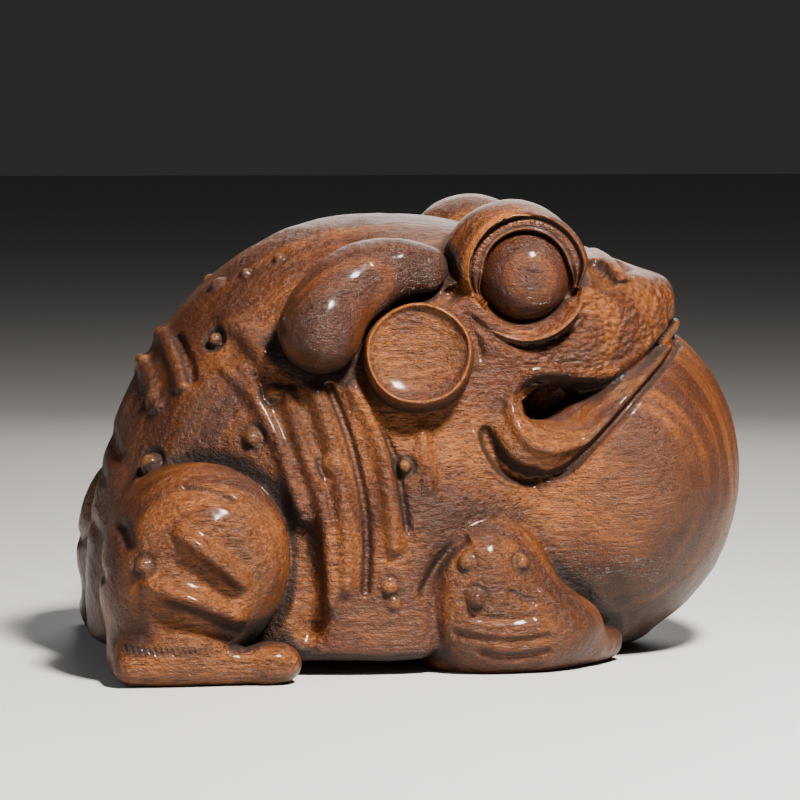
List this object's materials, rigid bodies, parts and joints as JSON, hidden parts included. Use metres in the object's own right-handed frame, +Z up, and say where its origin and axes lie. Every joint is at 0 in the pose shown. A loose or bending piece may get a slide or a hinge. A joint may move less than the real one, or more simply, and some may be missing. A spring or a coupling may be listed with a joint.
{
  "type": "carved wooden toad",
  "caption": "Palm-sized carved hardwood toad that sits with its vocal sac blown up, with warty skin and a polished finish.",
  "frame": {"origin": "on the table, under the middle of the whole object's box", "axes": "+X the way the toad looks, +Y the toad's left side, +Z up"},
  "size_m": [0.08, 0.058, 0.054],
  "materials": {
    "body_wood": "polished hardwood, semi-gloss",
    "sac_wood": "smooth polished hardwood, semi-gloss",
    "gland_wood": "smooth dark polished hardwood",
    "eye_wood": "smooth dark polished hardwood, glossy",
    "wart_wood": "hardwood rubbed bright on its raised points"
  },
  "bodies": {
    "root": {"torso": "body_wood", "head": "body_wood", "lower_jaw": "body_wood", "vocal_sac": "sac_wood", "right_eyeball": "eye_wood", "right_upper_lid": "body_wood", "right_lower_lid": "body_wood", "right_eardrum": "body_wood", "right_ear_gland": "gland_wood", "right_jaw_lobe": "body_wood", "right_thigh": "body_wood", "right_hind_foot": "body_wood", "right_foreleg": "body_wood", "right_forefoot": "body_wood", "right_flank_warts": "wart_wood", "right_thigh_warts": "wart_wood", "right_arm_warts": "wart_wood", "right_neck_folds": "body_wood", "right_back_ridges": "wart_wood", "left_eyeball": "eye_wood", "left_upper_lid": "body_wood", "left_lower_lid": "body_wood", "left_eardrum": "body_wood", "left_ear_gland": "gland_wood", "left_jaw_lobe": "body_wood", "left_thigh": "body_wood", "left_hind_foot": "body_wood", "left_foreleg": "body_wood", "left_forefoot": "body_wood", "left_flank_warts": "wart_wood", "left_thigh_warts": "wart_wood", "left_arm_warts": "wart_wood", "left_neck_folds": "body_wood", "left_back_ridges": "wart_wood"}
  },
  "joints": []
}
